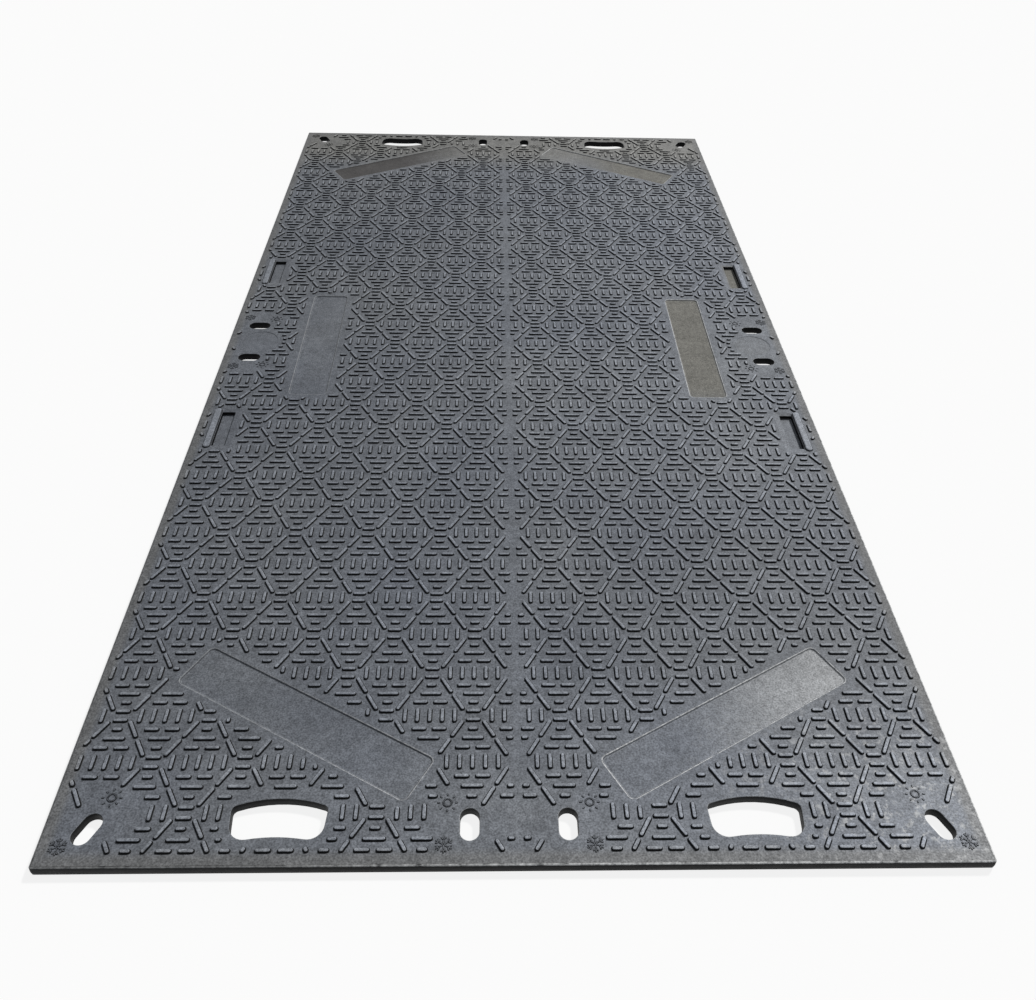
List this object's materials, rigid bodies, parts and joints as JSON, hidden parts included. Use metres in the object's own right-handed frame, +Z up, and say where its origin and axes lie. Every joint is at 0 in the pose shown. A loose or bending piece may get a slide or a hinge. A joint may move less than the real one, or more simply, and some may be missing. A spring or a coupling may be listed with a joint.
{
  "type": "ground protection mat",
  "caption": "Long flat plastic roadway mat with a raised bar tread, arched hand holes near its ends and slots for joining bolts along its rim.",
  "frame": {"origin": "middle of the underside, on the ground", "axes": "+X across the width, +Y along the length, +Z up through the tread"},
  "size_m": [1.2, 2.4, 0.018],
  "materials": {
    "mat_plastic": "moulded polyethylene, satin, lightly scuffed"
  },
  "bodies": {
    "root": {"ground_mat": "mat_plastic"}
  },
  "joints": []
}
